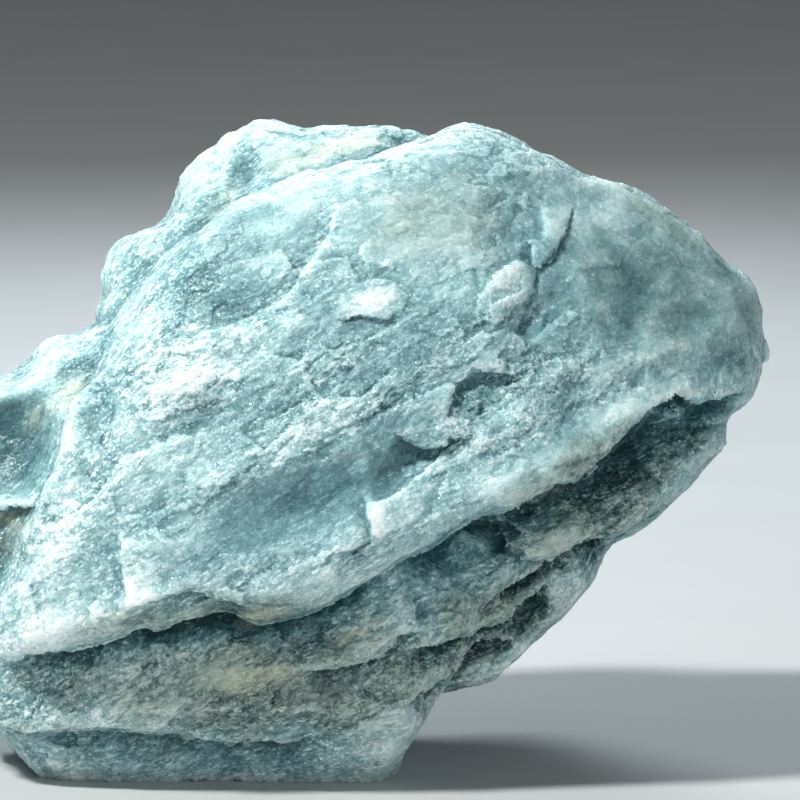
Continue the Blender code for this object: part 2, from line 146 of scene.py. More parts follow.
# A line fades out over this share of its length at each end. The way to its right turns smoothly round its
# corners, over about the root of this many square mm.
LINE_END_FADE = 0.15
CORNER_EASING = 0.5
NEVER_ZERO = 0.000001


def beside(seen, line):
    """Distance from a line, positive on its left; a fade, 1 along it and 0 at its ends; the way right."""
    across, up = seen[0], seen[1]
    points = np.array(line, float)
    steps = np.diff(points, axis=0)
    lengths = np.hypot(*steps.T)
    starts = np.concatenate([[0], np.cumsum(lengths)])
    nearest = np.full(across.shape, np.inf)
    side = np.ones(across.shape)
    along = np.zeros(across.shape)
    rightwards = np.zeros((2, *across.shape))
    for start, step, length, run in zip(points, steps, lengths, starts):
        from_start = np.stack([across - start[0], up - start[1]])
        share = np.clip((from_start[0] * step[0] + from_start[1] * step[1]) / length**2, 0, 1)
        distance = np.hypot(from_start[0] - share * step[0], from_start[1] - share * step[1])
        closer = distance < nearest
        left = np.sign(step[0] * from_start[1] - step[1] * from_start[0])
        nearest = np.where(closer, distance, nearest)
        side = np.where(closer, left, side)
        along = np.where(closer, run + share * length, along)
        nearby = 1 / (distance**2 + CORNER_EASING) ** 2
        rightwards += nearby * np.array([[step[1]], [-step[0]]]) / length
    fade_run = LINE_END_FADE * starts[-1]
    fade = eased(along / fade_run) * eased((starts[-1] - along) / fade_run)
    return nearest * side, fade, rightwards / (np.hypot(*rightwards) + NEVER_ZERO)


def near_line(seen, line, reach):
    """Which places lie within reach mm of the box around a line."""
    low = np.min(line, axis=0) - reach
    high = np.max(line, axis=0) + reach
    return (seen[0] > low[0]) & (seen[0] < high[0]) & (seen[1] > low[1]) & (seen[1] < high[1])


# Each lip or ledge of the front: its line, with the raised plate on its left; how far the plate's edge
# stands up and over what width; how deep the stone drops beyond it and over what width; all in mm. The
# edge also hangs out over the drop, and the stone under it is cut back, each by a share of the drop.
FRONT_LEDGES = dict(
    main_lip=(((42.0, 24.6), (44.0, 25.6), (46.8, 27.2), (49.5, 29.3), (51.5, 30.6), (53.9, 31.5),
               (56.3, 31.9), (58.9, 33.1), (61.2, 34.4), (63.2, 34.8), (64.6, 36.0), (66.0, 37.4),
               (68.0, 38.8), (69.4, 40.6), (71.0, 41.9), (72.6, 43.2), (74.5, 44.1), (76.8, 43.6),
               (79.0, 43.8), (81.2, 44.5), (83.2, 45.2)), 1.1, 2.4, 3.2, 2.6),
    main_crease=(((0.0, 14.6), (4.4, 15.4), (8.8, 16.5), (13.2, 17.7), (17.6, 18.4), (20.9, 19.2),
                  (23.3, 19.9), (25.3, 19.9), (27.7, 19.4), (31.2, 19.6), (33.7, 20.2), (36.5, 21.6),
                  (40.7, 23.9), (44.0, 25.6)), 0.7, 2.0, 2.0, 2.4),
    second_plate=(((54.9, 21.0), (55.4, 22.6), (56.5, 23.5), (58.3, 24.4), (60.0, 25.5), (62.5, 26.8),
                   (65.3, 28.1), (67.0, 27.9)), 0.8, 2.0, 2.6, 2.2),
    third_ledge=(((44.8, 15.6), (47.3, 16.5), (49.8, 17.8), (52.1, 18.2), (53.5, 18.8), (55.7, 19.7),
                  (57.3, 20.6), (60.6, 22.9)), 0.9, 1.5, 2.2, 2.2),
    fourth_ledge=(((44.0, 9.6), (48.7, 13.1), (49.8, 14.2), (51.6, 16.1), (53.1, 16.9), (56.8, 16.9)),
                  0.4, 2.0, 1.0, 1.8),
    low_crust=(((33.0, 13.6), (38.0, 14.0), (42.0, 15.4), (44.0, 17.5), (47.0, 18.6)), 0.35, 2.0, 0.5, 1.6),
    tongue=(((54.6, 29.6), (55.6, 27.2), (57.4, 26.3), (60.2, 25.9), (62.7, 27.4), (66.5, 29.0)),
            0.4, 2.8, 0.8, 1.6),
    tongue_root=(((50.5, 29.6), (53.9, 29.4), (56.2, 29.4), (57.4, 28.0)), 0.2, 1.6, 0.7, 1.4),
    teal_groove_foot=(((51.3, 39.3), (48.7, 37.8), (46.4, 35.6), (42.8, 32.8), (40.6, 32.2)),
                      0.15, 2.4, 0.3, 2.4),
    chip_over_groove=(((43.0, 39.8), (45.7, 38.4), (47.4, 38.2), (48.9, 38.7), (49.5, 39.5), (52.5, 39.6)),
                      0.15, 2.2, 0.35, 1.6),
    scallop=(((48.5, 41.0), (49.5, 42.9), (50.3, 45.1), (52.1, 46.6), (54.8, 46.5), (57.5, 46.0)),
             0.1, 2.4, 0.3, 1.6),
    top_flake=(((57.6, 62.0), (58.0, 60.5), (58.6, 58.6), (59.5, 58.2), (60.9, 59.3), (62.3, 62.4),
                (63.3, 65.4)), 0.15, 3.6, 0.25, 0.6),
    middle_flake_lit_side=(((58.6, 59.0), (56.7, 58.6), (54.7, 57.8), (53.2, 56.1), (52.4, 53.4)),
                           0.1, 2.8, 0.12, 1.0),
    middle_flake_shaded_side=(((58.4, 48.8), (56.9, 51.2), (57.8, 53.6), (58.6, 55.6), (58.8, 58.2)),
                              0.0, 2.6, 0.25, 0.8),
    teal_hollow_foot=(((37.6, 66.0), (36.0, 62.0), (34.0, 58.9), (32.6, 56.2), (30.3, 53.7), (27.3, 52.5),
                       (21.0, 50.6)), 0.15, 2.4, 0.15, 3.0),
    white_scar=(((37.0, 52.0), (38.7, 52.7), (40.3, 52.5), (41.7, 52.1), (42.9, 52.3), (44.0, 53.2),
                 (45.2, 55.4)), 0.08, 3.4, 0.15, 0.7),
    bright_block_side=(((12.6, 29.5), (13.2, 24.7), (13.6, 18.8)), 0.15, 3.6, 0.2, 1.2),
    bright_block_foot=(((11.8, 18.6), (14.4, 20.0), (17.9, 21.3), (21.0, 22.7), (24.1, 21.9), (28.4, 20.4)),
                       0.15, 2.2, 0.4, 2.0),
    lip_crack=(((41.2, 28.0), (39.3, 27.0), (37.6, 25.5), (36.0, 22.0)), 0.1, 1.6, 0.2, 0.8),
    pale_block_side=(((40.2, 33.4), (40.3, 30.4), (41.2, 27.4)), 0.1, 2.0, 0.15, 1.2),
    left_rim_ledge=(((-9.0, 29.6), (-3.3, 30.8), (1.7, 31.9), (5.0, 31.4)), 0.3, 2.4, 0.6, 2.2),
    foot_ledge=(((-6.0, 9.0), (3.0, 6.4), (13.0, 7.4), (25.0, 5.6), (38.0, 7.0)), 0.25, 2.4, 0.6, 2.4),
)
# Seen from the front through the stone, so that each line's run still has the raised plate on its left.
BACK_LEDGES = dict(
    high_ledge=(((13.0, 52.0), (24.0, 57.0), (36.0, 58.5), (47.0, 64.5), (58.0, 67.5)), 0.1, 3.0, 0.4, 2.0),
    long_ledge=(((-10.0, 32.0), (4.0, 33.0), (16.0, 39.5), (32.0, 42.0), (47.0, 50.0), (62.0, 51.5),
                 (78.0, 57.0)), 0.1, 3.2, 0.5, 2.4),
    low_ledge=(((-6.0, 13.0), (8.0, 17.5), (21.0, 18.0), (34.0, 26.5), (50.0, 30.0), (66.0, 38.0)),
               0.1, 3.0, 0.4, 2.0),
    foot_ledge=(((2.0, 5.0), (16.0, 7.0), (27.0, 12.5), (42.0, 15.0)), 0.1, 2.4, 0.4, 2.0),
    cross_break=(((30.0, 30.0), (27.0, 39.0), (29.0, 47.0), (25.0, 55.0)), 0.2, 3.0, 0.3, 1.6),
    scoop_rim=(((40.0, 33.0), (46.0, 33.5), (55.0, 37.0), (63.0, 42.5), (66.0, 46.0)), 0.25, 2.4, 0.5, 2.6),
)
# How they all break: the edge's own width; the overhang and the cut under it, each as a share of the drop
# and a width; the drop from which the painted shade under a ledge is full; how many widths a ledge reaches;
# and how the lines wander, as waves with their depth, size, stretch and seed.
LEDGE_EDGE = 0.2
OVERHANG = (0.15, 1.2)
UNDERCUT = (0.4, 2.5)
FULL_SHADE_DROP = 2.0
LEDGE_REACH = 3
LEDGE_RAGGEDNESS = ((0.55, 2.4, 1.5, 5.7), (0.3, 0.9, 1.2, 41.2))

# Thin open cracks under the flakes and behind the lip. They wander by waves too.
CRACKS = dict(
    under_top_flake=((63.4, 65.4), (62.4, 62.4), (61.2, 59.9), (60.0, 58.4), (58.7, 58.6)),
    under_white_scar=((37.2, 52.1), (38.8, 52.5), (40.3, 52.4), (41.8, 52.0), (43.0, 52.4), (44.2, 53.4)),
    beside_middle_flake=((57.0, 51.0), (57.8, 53.4), (58.6, 55.4)),
    behind_the_lip=((38.6, 26.4), (39.8, 27.4), (41.6, 28.4)),
)
CRACK_DEPTH = 0.2
CRACK_HALF_WIDTH = 0.13
CRACK_REACH = 4
CRACK_WANDER = ((0.25, 1.0, 1.0, 97.0),)

# Where the break is smooth or hackly, as ellipses: middle, half length, half width, slope in degrees,
# and how hackly it is there (1 is rough). A name that ends in back puts the patch on the back.
HACKLE_ELSEWHERE = 0.5
HACKLE_PATCHES = dict(
    smooth_right_face=((72.6, 58.5), 17.0, 11.5, -30, 0.08),
    smooth_middle=((34.0, 32.5), 13.0, 5.5, 22, 0.14),
    smooth_teal=((27.5, 61.5), 10.0, 5.0, 38, 0.14),
    smooth_lip=((62.5, 37.5), 15.0, 2.6, 33, 0.15),
    smooth_top=((46.0, 63.0), 9.0, 6.0, 10, 0.2),
    hackly_middle=((57.0, 43.5), 10.0, 5.5, 30, 1.0),
    bright_zone=((22.0, 47.0), 9.0, 6.5, 30, 1.0),
    streaked_middle=((40.0, 45.0), 16.0, 5.0, 28, 0.8),
    second_and_third_plate=((64.0, 31.0), 18.0, 6.0, 42, 0.8),
    low_plates=((55.0, 20.0), 9.0, 6.0, 38, 0.75),
    lower_crust=((26.0, 12.0), 32.0, 6.0, 4, 0.9),
    left_strip=((8.0, 33.0), 10.0, 4.0, 70, 0.8),
    smooth_left_hollow=((1.0, 38.5), 8.0, 6.5, 70, 0.12),
    smooth_back=((50.0, 56.0), 16.0, 7.0, 24, 0.2),
)
# How steeply a patch gives way to the stone around it, and how much of it is left on its rim; the waves that
# stir them all; and the least and most hackle.
PATCH_STEEPNESS = 1.6
PATCH_AT_RIM = 0.3
HACKLE_WAVES = ((0.6, 4.0, 1.8, 61.0),)
HACKLE_RANGE = (0.05, 1.1)

# The beryl splits along one plane, in wavy steps of uneven height, most of them low. Sizes are in mm. The
# treads face up and left, and the rougher the break, the more of the steps is left.
CLEAVAGE_LEAN = math.radians(38)
STEP_HEIGHTS = (0.14, 0.9)
LOW_STEPS_POWER = 1.7
STEP_WAVES = ((1.1, 7.0, 2.4, 17.0), (0.45, 2.2, 2.6, 29.0), (0.16, 0.9, 1.6, 53.0))
STEP_RISER = 0.10
STEP_DEPTH = 0.32
STEP_HACKLE_POWER = 1.5
STEP_SEED = 7

# Hackly facets of the grain: size in mm, how much longer along the grain, tilt, seed, and how much of
# the tilt is left where the break is smooth. A facet is also lifted by a share of its tilt, at random, and
# fine waves lie over them all.
FACETS = ((4.5, 2.0, 0.05, 2, 0.1), (1.9, 2.4, 0.07, 3, 0.10), (0.85, 1.8, 0.10, 4, 0.12))
FACET_LIFT = 0.15
FINE_WAVES = ((0.02, 0.8, 1.3, 71.0),)

# The narrow ends, the top and the under side broke more roughly than the two broad faces. Their waves fade
# out as the skin turns to the front or back. Skin that is lower than the last value lies flat on the table.
END_WAVES = ((0.6, 7.0, 1.0, 31.0), (0.35, 3.0, 1.0, 37.0))
END_WAVES_FADE = 0.6
FOOT_SKIN = 0.00025

# What counts as facing a way: the cosine at which that starts, and the run up to full. Stone that is cut
# back under a lip faces down and a little away, and still counts as front.
FACING = (0.05, 0.4)
FACING_OR_UNDERCUT = (-0.25, 0.3)


def cleavage_way():
    """The way the cleavage treads face."""
    lean = math.sin(CLEAVAGE_LEAN)
    across = -math.sin(GRAIN_SLOPE) * lean
    up = math.cos(GRAIN_SLOPE) * lean
    return across * ACROSS + up * UPWARDS + math.cos(CLEAVAGE_LEAN) * TOWARDS


def within_ellipse(seen, middle, half_length, half_width, slope):
    """How far out in an ellipse each place lies: 0 in its middle, 1 on its edge."""
    turn = math.radians(slope)
    across, up = seen[0] - middle[0], seen[1] - middle[1]
    length_share = (across * math.cos(turn) + up * math.sin(turn)) / half_length
    width_share = (up * math.cos(turn) - across * math.sin(turn)) / half_width
    return np.hypot(length_share, width_share)


def facing_share(facing, way, counts=FACING):
    """1 where the skin faces this way, 0 where it faces across it or away."""
    start, run = counts
    return eased((facing @ way - start) / run)


def broadside_share(facing, start, run):
    """1 on the broad front and back, 0 where the skin faces up, down or to a narrow end."""
    return eased((np.abs(facing @ TOWARDS) - start) / run)


def hackle_of(seen, facing):
    """How hackly the break is at each place, from 0 to 1."""
    hackle = np.full(seen[0].shape, HACKLE_ELSEWHERE)
    for name, (middle, half_length, half_width, slope, value) in HACKLE_PATCHES.items():
        way = -TOWARDS if name.endswith("back") else TOWARDS
        out = within_ellipse(seen, middle, half_length, half_width, slope)
        inside = eased(PATCH_STEEPNESS * (1 - out) + PATCH_AT_RIM) * facing_share(facing, way)
        hackle += inside * (value - hackle)
    hackle *= 1 + wavy(seen, HACKLE_WAVES)
    return np.clip(hackle, *HACKLE_RANGE)


def ledge_relief(seen, ledges):
    """How far the lips and ledges move the skin across, up and out, in mm."""
    ragged = wavy(seen, LEDGE_RAGGEDNESS)
    moved = np.zeros((3, *seen[0].shape))
    for line, rise, rise_run, drop, drop_run in ledges.values():
        near = near_line(seen, line, LEDGE_REACH * max(rise_run, drop_run))
        beyond, fade, rightwards = beside([value[near] for value in seen], line)
        beyond = beyond + ragged[near]
        above = eased(beyond / LEDGE_EDGE + 0.5)
        moved[2, near] += fade * above * rise * np.exp(-np.abs(beyond) / rise_run)
        moved[2, near] -= fade * (1 - above) * drop * np.exp(-((beyond / drop_run) ** 2))
        hung_out = above * OVERHANG[0] * np.exp(-np.abs(beyond) / OVERHANG[1])
        cut_back = (1 - above) * UNDERCUT[0] * np.exp(-((beyond / UNDERCUT[1]) ** 2))
        moved[:2, near] += rightwards * fade * drop * (hung_out - cut_back)
    return moved


def ledge_shade_of(seen, facing):
    """Painted shade under the lips and ledges of the front: how deep in it each place lies, from 0 to 1."""
    recess = np.zeros(seen[0].shape)
    for line, _, _, drop, drop_run in FRONT_LEDGES.values():
        near = near_line(seen, line, LEDGE_REACH * drop_run)
        beyond, fade, _ = beside([value[near] for value in seen], line)
        below = (beyond < 0) * np.minimum(drop / FULL_SHADE_DROP, 1) * np.exp(-((beyond / drop_run) ** 2))
        recess[near] = np.maximum(recess[near], fade * below)
    return recess * facing_share(facing, TOWARDS, FACING_OR_UNDERCUT)


def crack_of(seen, facing):
    """How open a crack is at each place, from 0 to 1."""
    open_share = np.zeros(seen[0].shape)
    wander = wavy(seen, CRACK_WANDER)
    for line in CRACKS.values():
        near = near_line(seen, line, CRACK_REACH * CRACK_HALF_WIDTH)
        beyond, fade, _ = beside([value[near] for value in seen], line)
        beyond = beyond + wander[near]
        open_share[near] = np.maximum(open_share[near], fade * np.exp(-((beyond / CRACK_HALF_WIDTH) ** 2)))
    return open_share * facing_share(facing, TOWARDS)


def cleavage_steps(places, seen, hackle):
    """How far the uneven cleavage steps move each place along the way the treads face, in mm."""
    height = wavy(seen, STEP_WAVES, start=(places @ cleavage_way()) / MM)
    draw = np.random.default_rng(STEP_SEED)
    edges = [height.min() - 1]
    low, high = STEP_HEIGHTS
    while edges[-1] < height.max() + 1:
        edges.append(edges[-1] + low + (high - low) * draw.random() ** LOW_STEPS_POWER)
    edges = np.array(edges)
    middles = (edges[:-1] + edges[1:]) / 2
    risers = STEP_RISER / 2
    knots = np.stack([edges[1:-1] - risers, edges[1:-1] + risers], axis=1).ravel()
    levels = np.stack([middles[:-1], middles[1:]], axis=1).ravel()
    return (np.interp(height, knots, levels) - height) * (STEP_DEPTH * hackle**STEP_HACKLE_POWER)


def grain_facets(seen, size, stretch, tilt, seed):
    """Hackly facets: each crystal grain's face is tilted its own way, in mm."""
    along, over = along_grain(seen[0], seen[1])
    turned = np.stack([along / stretch, over, seen[2]], axis=1) / size
    low, high = turned.min(axis=0), turned.max(axis=0)
    draw = np.random.default_rng(seed)
    cells = (high - low + 2).astype(int)
    corner = np.stack(np.meshgrid(*[np.arange(n) for n in cells], indexing="ij"), axis=-1).reshape(-1, 3)
    middles = low - 1 + corner + draw.random(corner.shape)
    tilts = draw.normal(size=corner.shape) * tilt
    lifts = draw.normal(size=len(corner)) * tilt * FACET_LIFT
    home = np.floor(turned - (low - 1)).astype(int)
    best = np.full(len(turned), np.inf)
    moved = np.zeros(len(turned))
    for shift in np.stack(np.meshgrid(*[(-1, 0, 1)] * 3, indexing="ij"), axis=-1).reshape(-1, 3):
        cell = np.clip(home + shift, 0, cells - 1)
        index = (cell[:, 0] * cells[1] + cell[:, 1]) * cells[2] + cell[:, 2]
        offset = turned - middles[index]
        distance = (offset**2).sum(axis=1)
        closer = distance < best
        best = np.where(closer, distance, best)
        moved = np.where(closer, (offset * tilts[index]).sum(axis=1) + lifts[index], moved)
    return moved * size


def roughened(mesh):
    """Works the lips, the cleavage steps and the grain into the skin."""
    places = read_vectors(mesh, "co")
    facing = read_vectors(mesh, "normal")
    seen = read_from_front(places)
    in_front = facing_share(facing, TOWARDS, FACING_OR_UNDERCUT)
    across, up, towards = in_front * ledge_relief(seen, FRONT_LEDGES)
    towards -= facing_share(facing, -TOWARDS) * ledge_relief(seen, BACK_LEDGES)[2]
    towards -= CRACK_DEPTH * crack_of(seen, facing)
    places += (np.outer(across, ACROSS) + np.outer(up, UPWARDS) + np.outer(towards, TOWARDS)) * MM
    write_places(mesh, places)

    facing = read_vectors(mesh, "normal")
    seen = read_from_front(places)
    hackle = hackle_of(seen, facing)
    places += cleavage_way() * (cleavage_steps(places, seen, hackle) * MM)[:, None]
    write_places(mesh, places)

    facing = read_vectors(mesh, "normal")
    seen = read_from_front(places)
    edge_on = 1 - broadside_share(facing, 0.0, END_WAVES_FADE)
    rough = wavy(seen, FINE_WAVES) + edge_on * wavy(seen, END_WAVES)
    for size, stretch, tilt, seed, left_where_smooth in FACETS:
        strength = left_where_smooth + (1 - left_where_smooth) * hackle
        rough += grain_facets(seen, size, stretch, tilt, seed) * strength
    places += facing * (rough * MM)[:, None]
    places[places[:, 2] < FOOT_SKIN, 2] = 0.0
    write_places(mesh, places)


def thinned(mesh, triangles):
    """The mesh brought down to this many triangles, fewest where it is flat."""
    mesh.calc_loop_triangles()
    skin = linked("skin", mesh)
    thin = skin.modifiers.new("thin", "DECIMATE")
    thin.ratio = triangles / len(mesh.loop_triangles)
    return applied(skin)


def neighbours_smoothed(mesh, values, rounds):
    """Values of the mesh's points, each round averaged with those of the points next to it."""
    ends = np.empty(len(mesh.edges) * 2, np.int32)
    mesh.edges.foreach_get("vertices", ends)
    first, second = ends.reshape(-1, 2).T
    count = len(mesh.vertices)
    beside_count = np.bincount(first, minlength=count) + np.bincount(second, minlength=count)
    for _ in range(rounds):
        total = [
            np.bincount(first, weights=column[second], minlength=count)
            + np.bincount(second, weights=column[first], minlength=count)
            for column in values.T
        ]
        values = np.stack(total, axis=1) / beside_count[:, None]
    return values


def edge_of(mesh, places, facing, rounds, full):
    """1 on lips that stand out by this many mm or more, -1 in grooves as deep, 0 on even skin."""
    around = neighbours_smoothed(mesh, places, rounds)
    proud = ((places - around) * facing).sum(axis=1) / MM
    return np.clip(proud / full, -1, 1)


def painted(mesh, name, values):
    """Stores one number for each point, for the material to read."""
    layer = mesh.attributes.new(name, "FLOAT", "POINT")
    layer.data.foreach_set("value", values.astype(np.float32))


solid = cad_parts["aquamarine"]
fine = wrapped(solid)
roughened(fine)
stone_mesh = thinned(fine, SKIN_TRIANGLES)
places = read_vectors(stone_mesh, "co")
places[:, 2] = np.maximum(places[:, 2], 0.0)
write_places(stone_mesh, places)
stone = linked("rough_aquamarine", stone_mesh)

# Tints that the break shows, each a set of ellipses on the front: middle, half length, half width, slope
# in degrees, and how strong it is there. They come through on the back as well, but weaker. The teal tint
# is partly painted shade and the frost tint partly a painted highlight.
TINTS = dict(
    # The teal tint: deeper teal stone, and painted shade along the main crease, under the main lip and at
    # the foot of the second plate.
    teal=(
        ((24.0, 60.5), 12.0, 5.5, 38, 1.0),
        ((14.0, 60.0), 8.0, 4.0, 55, 0.6),
        ((24.5, 56.0), 7.0, 3.0, 30, 1.0),
        ((42.0, 36.0), 8.0, 3.0, 32, 0.7),
        ((52.3, 44.6), 3.4, 2.4, 30, 0.8),
        ((34.0, 32.5), 13.0, 5.5, 22, 0.15),
        ((2.0, 38.5), 7.5, 6.0, 70, 0.5),
        ((73.0, 56.0), 13.0, 9.0, -30, 0.65),
        ((78.0, 48.0), 6.0, 4.0, 10, 0.5),
        ((27.5, 70.0), 5.0, 3.5, 60, 0.8),
        ((16.0, 28.0), 9.0, 4.0, 60, 0.35),
        ((72.0, 37.0), 13.0, 2.6, 42, 1.0),
        ((28.0, 19.4), 19.0, 2.8, 6, 1.0),
        ((62.0, 37.0), 14.0, 3.0, 33, 0.4),
        ((66.0, 27.0), 4.0, 1.6, 40, 1.0),
    ),
    # The frost tint: white frosted break, and in its first and strongest patch, on the bright zone, also a
    # painted highlight.
    frost=(
        ((22.0, 47.5), 8.0, 5.5, 30, 1.2),
        ((41.0, 54.5), 4.0, 2.2, 12, 1.3),
        ((55.8, 56.0), 2.4, 4.0, -25, 0.7),
        ((41.4, 30.2), 1.2, 2.2, 0, 1.0),
        ((45.5, 32.5), 4.0, 2.2, 40, 0.6),
        ((33.5, 40.0), 10.0, 3.0, 28, 0.5),
        ((15.6, 23.0), 2.6, 4.5, 8, 0.6),
        ((60.0, 27.8), 5.0, 1.6, 20, 0.7),
        ((25.0, 12.8), 4.0, 2.6, -30, 0.6),
        ((39.5, 17.4), 4.0, 2.0, 30, 0.7),
        ((4.0, 17.5), 9.0, 4.0, 20, 0.5),
        ((7.5, 32.0), 3.0, 10.0, -14, 0.7),
        ((24.0, 72.0), 6.0, 1.6, 40, 0.6),
    ),
    sage=(
        ((62.5, 35.5), 13.0, 2.6, 34, 1.0),
        ((72.0, 65.5), 14.0, 4.0, -38, 0.6),
        ((48.0, 63.5), 10.0, 6.0, 10, 0.6),
        ((66.0, 31.0), 18.0, 6.0, 42, 0.9),
        ((54.0, 19.0), 14.0, 7.0, 40, 1.0),
        ((28.0, 12.0), 36.0, 8.0, 3, 1.0),
        ((24.0, 19.5), 20.0, 2.6, 6, 1.0),
        ((1.0, 38.5), 8.0, 6.0, 70, 0.35),
        ((73.0, 56.0), 13.0, 9.0, -30, 0.5),
    ),
    cream=(
        ((35.5, 70.8), 8.5, 1.8, 14, 1.0),
        ((25.0, 66.0), 4.5, 1.4, 55, 0.5),
        ((28.5, 13.5), 7.0, 2.5, 0, 0.8),
        ((39.5, 17.0), 4.0, 1.8, 30, 0.9),
        ((25.5, 13.0), 3.4, 2.4, -40, 1.0),
        ((1.5, 30.5), 3.0, 1.2, -10, 1.0),
        ((7.0, 44.0), 5.0, 1.6, 40, 0.8),
        ((29.0, 19.6), 5.0, 1.2, 10, 0.6),
    ),
    rust=(
        ((1.0, 27.5), 2.0, 3.4, 0, 1.0),
        ((38.5, 37.4), 1.2, 0.8, 30, 0.6),
        ((52.0, 14.0), 5.0, 1.2, 40, 0.4),
        ((34.0, 11.0), 5.0, 2.0, 0, 0.35),
    ),
)
BACK_TINT = 0.6
TINT_REACH = 1.15
TINT_RAGGEDNESS = ((0.35, 3.0, 1.6, 83.0), (0.2, 1.1, 1.4, 87.0))

# Edges are painted paler, a painted highlight where they catch the light. A fine edge stands out from the
# skin just around it, a broad one from the stone farther off: how many rounds the skin around is averaged,
# and the mm that make a full edge. Broad edges fade out where the skin turns away from the front and back.
FINE_EDGE = (3, 0.12)
BROAD_EDGE = (60, 0.8)
BROAD_EDGE_FADE = 0.5


def tint_of(seen, patches, facing):
    """How strong a tint is at each point, from 0 to 1, with ragged edges."""
    strength = np.zeros(seen[0].shape)
    ragged = wavy(seen, TINT_RAGGEDNESS)
    for middle, half_length, half_width, slope, value in patches:
        out = within_ellipse(seen, middle, half_length, half_width, slope)
        strength = np.maximum(strength, value * eased(TINT_REACH - out + ragged))
    return strength * (facing_share(facing, TOWARDS) + BACK_TINT * facing_share(facing, -TOWARDS))


facing = read_vectors(stone_mesh, "normal")
seen = read_from_front(places)
paint = {tint: tint_of(seen, patches, facing) for tint, patches in TINTS.items()}
paint["hackle"] = hackle_of(seen, facing)
# Painted shade along the open cracks.
paint["crack"] = crack_of(seen, facing)
# Painted shade under the lips and ledges of the front.
paint["recess"] = ledge_shade_of(seen, facing)
paint["fine_edge"] = edge_of(stone_mesh, places, facing, *FINE_EDGE)
broad_edge = edge_of(stone_mesh, places, facing, *BROAD_EDGE)
paint["broad_edge"] = broad_edge * broadside_share(facing, 0.0, BROAD_EDGE_FADE)
for name, values in paint.items():
    painted(stone_mesh, name, values)


class Wire:
    """An output of a node in a tree. Sums and products of wires add Math nodes."""

    def __init__(self, graph, socket):
        self.graph = graph
        self.socket = socket

    def also(self, name):
        """Another output of the same node."""
        return Wire(self.graph, self.socket.node.outputs[name])

    def maths(self, operation, first, second):
        """A Math node on two wires or numbers."""
        return self.graph.node("ShaderNodeMath", dict(operation=operation), **{"0": first, "1": second})

    def __add__(self, other):
        return self.maths("ADD", self, other)

    def __sub__(self, other):
        return self.maths("SUBTRACT", self, other)

    def __mul__(self, other):
        return self.maths("MULTIPLY", self, other)

    def __rsub__(self, other):
        return self.maths("SUBTRACT", other, self)

    def __pow__(self, other):
        return self.maths("POWER", self, other)

    __radd__ = __add__
    __rmul__ = __mul__


class Graph:
    """A tree of nodes."""

    def __init__(self, tree):
        self.tree = tree

    def feed(self, node, name, value):
        """Sets or links the socket of this name, or of this number."""
        if name.isdigit():
            socket = node.inputs[int(name)]
        else:
            socket = next(s for s in node.inputs if s.enabled and s.name == name.replace("_", " "))
        for one in value if isinstance(value, list) else [value]:
            if isinstance(one, Wire):
                self.tree.links.new(one.socket, socket)
            else:
                socket.default_value = one

    def node(self, kind, settings, gives=None, **inputs):
        """Adds a node: its settings first, then the values and links of its sockets."""
        node = self.tree.nodes.new(kind)
        for name, value in settings.items():
            if name == "stops":
                while len(node.color_ramp.elements) < len(value):
                    node.color_ramp.elements.new(1.0)
                for stop, (position, colour) in zip(node.color_ramp.elements, value):
                    stop.position, stop.color = position, colour
            else:
                setattr(node, name, value)
        for name, value in inputs.items():
            self.feed(node, name, value)
        outputs = [s for s in node.outputs if s.enabled]
        return Wire(self, next(s for s in outputs if s.name == gives) if gives else outputs[0])

    def vector(self, operation, first, second):
        """A Vector Math node on two vectors, or on a vector and a scale."""
        name = "Scale" if operation == "SCALE" else "1"
        return self.node("ShaderNodeVectorMath", dict(operation=operation), **{"0": first, name: second})


class Finish(Graph):
    """A material, built up from its shader's sockets."""

    def __init__(self, name):
        self.material = bpy.data.materials.new(name)
        self.material.use_nodes = True
        super().__init__(self.material.node_tree)
        self.shader = self.tree.nodes["Principled BSDF"]

    def mixed(self, factor, first, second):
        """A colour between two colours."""
        return self.node("ShaderNodeMix", dict(data_type="RGBA"), Factor=factor, A=first, B=second)

    def within(self, value, low, high):
        """0 where the value is low or less, 1 where it is high or more."""
        return self.node("ShaderNodeMapRange", dict(), Value=value, From_Min=low, From_Max=high)

    def noise(self, vector, scale, detail, roughness):
        """Cloudy noise around 0, about -0.3 to 0.3."""
        inputs = dict(Vector=vector, Scale=scale, Detail=detail, Roughness=roughness)
        return self.node("ShaderNodeTexNoise", dict(), **inputs) - 0.5

    def set(self, **values):
        """Sets or links the shader's own sockets."""
        for name, value in values.items():
            self.feed(self.shader, name, value)


# The material's own grain: how much longer it is along the grain, the crystals per mm of its two sizes, how
# few of them are painted bright, as white grains and painted glints, and its relief, which is in metres.
GRAIN_STRETCH = 2.6
GRAINS_PER_MM = 3.6
SMALL_GRAINS_PER_MM = 5.5
FEW_BRIGHT_POWER = 4.0
BUMP_STRENGTH = 0.3
BUMP_DISTANCE = 0.0002
# Its gloss, how much smoother a glint is, and how far red, green and blue light spread inside it.
BERYL_IOR = 1.575
SPECULAR_TINT = (0.86, 1, 1, 1)
GLINT_SMOOTHER = 0.30
GLOW_COLOUR_REACH = (0.95, 1.0, 1.0)


